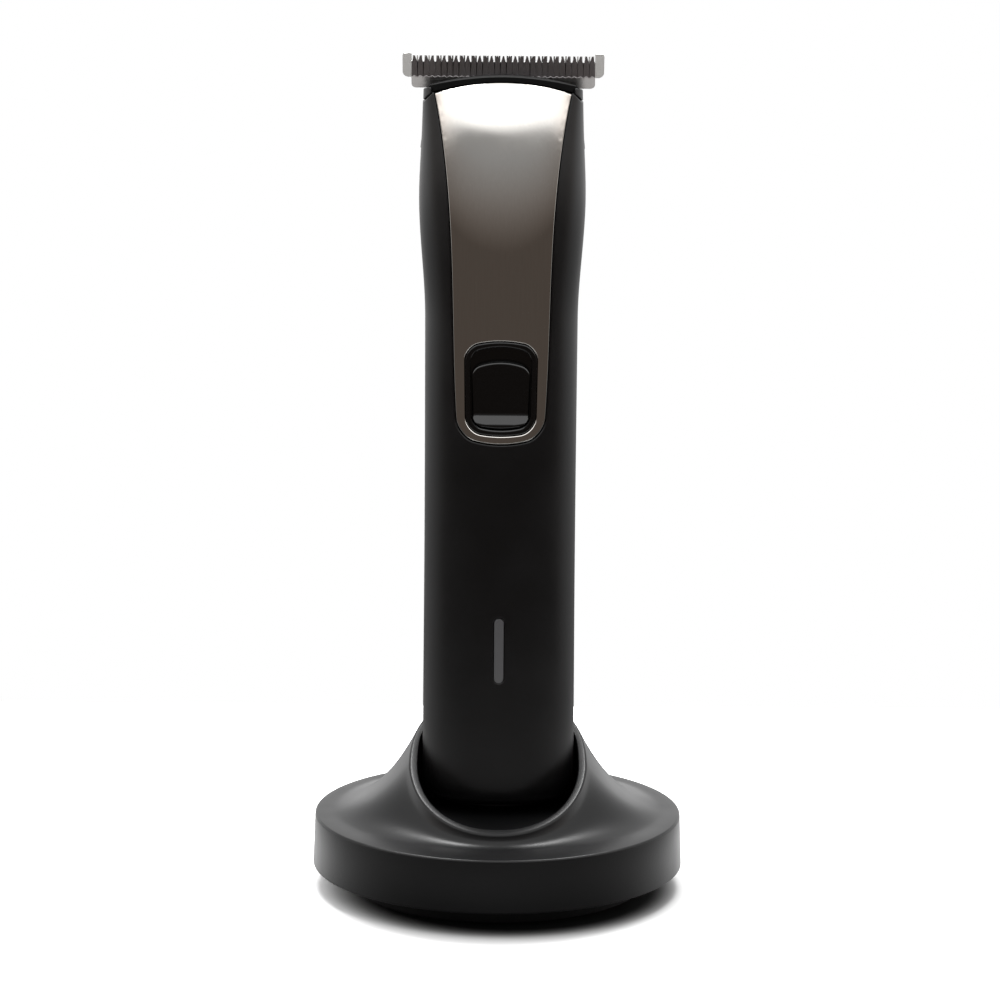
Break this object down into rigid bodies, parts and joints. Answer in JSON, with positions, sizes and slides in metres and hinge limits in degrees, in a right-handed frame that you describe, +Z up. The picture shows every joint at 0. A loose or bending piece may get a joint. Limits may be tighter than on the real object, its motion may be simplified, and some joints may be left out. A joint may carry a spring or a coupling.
{
  "type": "hair clipper in a charging stand",
  "caption": "Cordless hair clipper with a T-shaped blade, metal front panel and sliding switch, standing upright in a round charging stand with a flared collar.",
  "frame": {"origin": "middle of the stand's footprint, on the surface that its rubber feet rest on", "axes": "+Z up along the clipper, the front with the metal panel and the switch faces -Y, +X to the viewer's right"},
  "size_m": [0.0754, 0.0754, 0.1691],
  "materials": {
    "stand_plastic": "fine-textured satin black",
    "soft_black": "soft-touch black",
    "gloss_black": "polished black",
    "panel_steel": "satin stainless",
    "blade_steel": "ground satin",
    "cutter_steel": "ground, darker at the teeth",
    "screw_steel": "zinc plated",
    "spring_steel": "plain",
    "light_plastic": "smoked translucent",
    "foot_rubber": "matt",
    "contact_metal": "gold plated",
    "ballast_iron": "raw",
    "board_green": "solder mask",
    "chip_black": "moulded",
    "switch_metal": "tinned",
    "knob_plastic": "moulded",
    "cell_sleeve": "shrink sleeve over a metal can",
    "chassis_plastic": "moulded",
    "motor_steel": "plated",
    "motor_plastic": "moulded",
    "magnet_ferrite": "sintered",
    "copper": "bare",
    "cam_plastic": "moulded"
  },
  "bodies": {
    "stand": {"stand_shell": "stand_plastic", "stand_bottom_plate": "stand_plastic", "stand_feet": "foot_rubber", "stand_screws": "screw_steel", "stand_ballast": "ballast_iron", "stand_board": "board_green", "dc_inlet": "chip_black", "contact_springs": "contact_metal"},
    "contact_pins": {"charging_pins": "contact_metal"},
    "clipper": {"front_housing": "soft_black", "rear_housing": "soft_black", "housing_screws": "screw_steel", "bottom_cap": "soft_black", "contact_pads": "contact_metal", "front_panel": "panel_steel", "light_pipe": "light_plastic", "switch_bezel": "gloss_black", "slide_switch": "switch_metal", "chassis": "chassis_plastic", "battery_cell": "cell_sleeve", "battery_tabs": "switch_metal", "main_board": "board_green", "board_parts": "chip_black", "motor_can": "motor_steel", "motor_end_cap": "motor_plastic", "motor_terminals": "switch_metal", "motor_bushes": "copper", "motor_magnets": "magnet_ferrite", "motor_bracket": "chassis_plastic", "motor_screws": "screw_steel", "blade_base": "soft_black", "fixed_blade": "blade_steel", "blade_screws": "screw_steel", "tension_spring": "spring_steel"},
    "switch": {"switch_button": "gloss_black", "switch_knob": "knob_plastic"},
    "rotor": {"motor_shaft": "motor_steel", "armature_core": "motor_steel", "armature_windings": "copper", "commutator": "copper", "eccentric_cam": "cam_plastic"},
    "cutter": {"moving_blade": "cutter_steel", "cutter_yoke": "cam_plastic"}
  },
  "joints": [
    {"name": "clipper_lift", "type": "slide", "parent": "stand", "child": "clipper", "axis": [0, 0, 1], "range_m": [0, 0.05]},
    {"name": "pin_press", "type": "slide", "parent": "stand", "child": "contact_pins", "axis": [0, 0, 1], "range_m": [-0.0008, 0], "stiffness_N_per_m": 400, "deforming": ["contact_springs"]},
    {"name": "switch_slide", "type": "slide", "parent": "clipper", "child": "switch", "axis": [0, 0, 1], "range_m": [0, 0.0029]},
    {"name": "rotor_spin", "type": "hinge", "parent": "clipper", "child": "rotor", "pos_m": [0, 0.0003, 0.13], "axis": [0, 0, 1], "range_deg": [-90, 90]},
    {"name": "cutter_slide", "type": "slide", "parent": "clipper", "child": "cutter", "axis": [1, 0, 0], "range_m": [-0.00121, 0.00121]}
  ],
  "couplings": [
    {"joint": "cutter_slide", "follows": "rotor_spin", "m_per_rad": 0.00076394}
  ]
}
